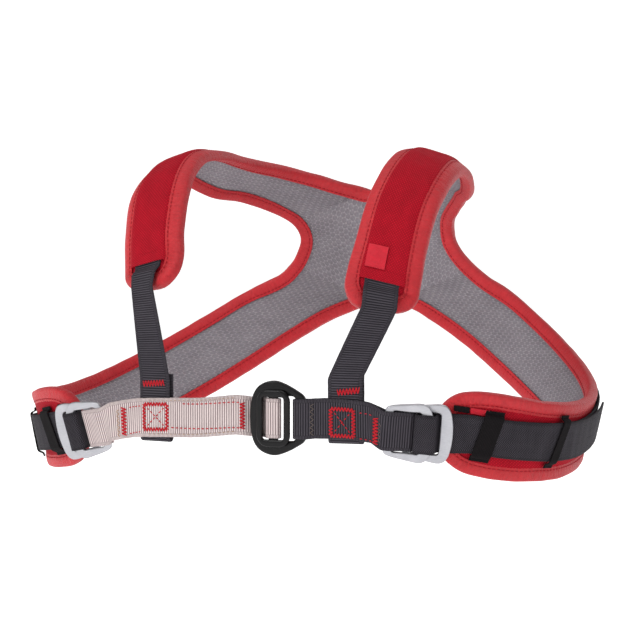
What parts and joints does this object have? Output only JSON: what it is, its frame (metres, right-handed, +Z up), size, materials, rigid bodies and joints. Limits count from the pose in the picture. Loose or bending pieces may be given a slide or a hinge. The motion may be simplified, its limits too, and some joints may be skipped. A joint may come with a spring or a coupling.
{
  "type": "climbing chest harness",
  "caption": "Padded chest harness: shoulder yoke with bound edges, rib wings, webbing chest strap with toggle buckle, adjuster rings and elastic keepers.",
  "frame": {"origin": "between the crests of the two shoulder pads, where the harness hangs on its wearer", "axes": "+X to the wearer's left, along the chest webbing; +Y from the wearer's chest to the back; +Z up along the wearer's trunk"},
  "size_m": [0.4408, 0.2828, 0.2423],
  "materials": {
    "red_binding": "satin woven tape",
    "red_cloth": "coarse plain-woven cloth",
    "grey_mesh": "spacer mesh with small cells",
    "dark_webbing": "ribbed webbing",
    "pale_webbing": "ribbed webbing",
    "black_elastic": "fine ribbed elastic",
    "bare_aluminium": "satin",
    "black_metal": "semi-gloss",
    "red_tag": "satin woven label"
  },
  "bodies": {
    "root": {"edge_binding": "red_binding", "padded_yoke": "red_cloth", "mesh_lining": "grey_mesh", "wing_facing_left": "red_cloth", "wing_facing_right": "red_cloth", "shoulder_sleeve_left": "red_cloth", "shoulder_sleeve_right": "red_cloth", "shoulder_web_left": "dark_webbing", "shoulder_web_right": "dark_webbing", "chest_web_left": "dark_webbing", "chest_web_right": "pale_webbing", "side_strap_left": "dark_webbing", "side_strap_right": "dark_webbing", "front_keeper_left": "black_elastic", "front_keeper_right": "black_elastic", "back_keeper_left": "black_elastic", "back_keeper_right": "black_elastic", "strap_tab_left": "black_elastic", "strap_tab_right": "black_elastic", "adjuster_ring_rear_left": "bare_aluminium", "adjuster_ring_rear_right": "bare_aluminium", "adjuster_ring_front_left": "bare_aluminium", "adjuster_ring_front_right": "bare_aluminium", "buckle_ring": "black_metal", "buckle_toggle": "black_metal", "size_tag": "red_tag"}
  },
  "joints": []
}
